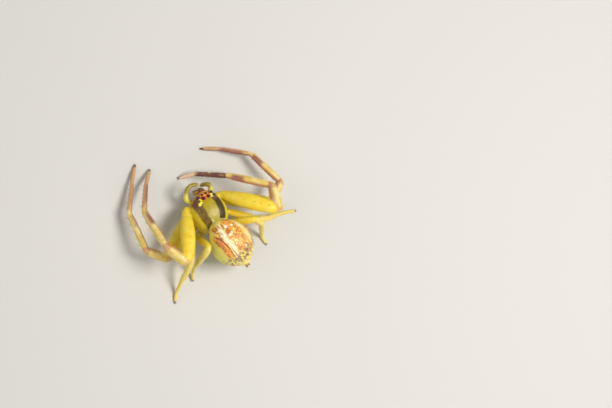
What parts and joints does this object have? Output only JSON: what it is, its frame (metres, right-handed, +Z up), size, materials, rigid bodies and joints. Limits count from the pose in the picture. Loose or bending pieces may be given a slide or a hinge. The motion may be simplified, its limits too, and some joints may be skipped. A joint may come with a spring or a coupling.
{
  "type": "crab spider",
  "caption": "Life-size still model of a flower crab spider in an ambush pose, long front legs held forward, carapace, abdomen, palps and feet modelled.",
  "frame": {"origin": "under the middle of the whole animal's box, on the plane of the feet", "axes": "+Z up; the spider faces -Y and its left side is +X"},
  "size_m": [0.0134, 0.0108, 0.0039],
  "materials": {
    "carapace_shell": "satin yellow-green shell with a paler middle stripe and two dark olive-brown side bands, rust-red round the eyes",
    "body_underside": "pale yellow-green, soft satin",
    "abdomen_skin": "cream-yellow soft skin with rust-brown and white bands",
    "spinneret_skin": "tan-brown, finely haired",
    "eye_lens": "glossy dark brown-black beads",
    "chelicera_shell": "satin olive-yellow",
    "leg_skin": "pale cream-yellow, translucent, with rose-brown bands",
    "femur_skin": "pale yellow, translucent, finely haired",
    "foot_skin": "rose-brown and tan, finely spined",
    "hair": "fine dark bristles and pale down",
    "claw": "dark horn"
  },
  "bodies": {
    "root": {"carapace": "carapace_shell", "sternum": "body_underside", "abdomen": "abdomen_skin", "pedicel": "abdomen_skin", "spinnerets": "spinneret_skin", "eye_front_middle_left": "eye_lens", "eye_front_middle_right": "eye_lens", "eye_front_side_left": "eye_lens", "eye_front_side_right": "eye_lens", "eye_rear_middle_left": "eye_lens", "eye_rear_middle_right": "eye_lens", "eye_rear_side_left": "eye_lens", "eye_rear_side_right": "eye_lens", "chelicera_left": "chelicera_shell", "palp_left": "leg_skin", "leg1_left_coxa": "body_underside", "leg1_left_femur": "femur_skin", "leg1_left_patella": "leg_skin", "leg1_left_tibia": "leg_skin", "leg1_left_foot": "foot_skin", "leg2_left_coxa": "body_underside", "leg2_left_femur": "femur_skin", "leg2_left_patella": "leg_skin", "leg2_left_tibia": "leg_skin", "leg2_left_foot": "foot_skin", "leg3_left_coxa": "body_underside", "leg3_left_femur": "femur_skin", "leg3_left_patella": "leg_skin", "leg3_left_tibia": "leg_skin", "leg3_left_foot": "foot_skin", "leg4_left_coxa": "body_underside", "leg4_left_femur": "femur_skin", "leg4_left_patella": "leg_skin", "leg4_left_tibia": "leg_skin", "leg4_left_foot": "foot_skin", "chelicera_right": "chelicera_shell", "palp_right": "leg_skin", "leg1_right_coxa": "body_underside", "leg1_right_femur": "femur_skin", "leg1_right_patella": "leg_skin", "leg1_right_tibia": "leg_skin", "leg1_right_foot": "foot_skin", "leg2_right_coxa": "body_underside", "leg2_right_femur": "femur_skin", "leg2_right_patella": "leg_skin", "leg2_right_tibia": "leg_skin", "leg2_right_foot": "foot_skin", "leg3_right_coxa": "body_underside", "leg3_right_femur": "femur_skin", "leg3_right_patella": "leg_skin", "leg3_right_tibia": "leg_skin", "leg3_right_foot": "foot_skin", "leg4_right_coxa": "body_underside", "leg4_right_femur": "femur_skin", "leg4_right_patella": "leg_skin", "leg4_right_tibia": "leg_skin", "leg4_right_foot": "foot_skin"}
  },
  "joints": []
}
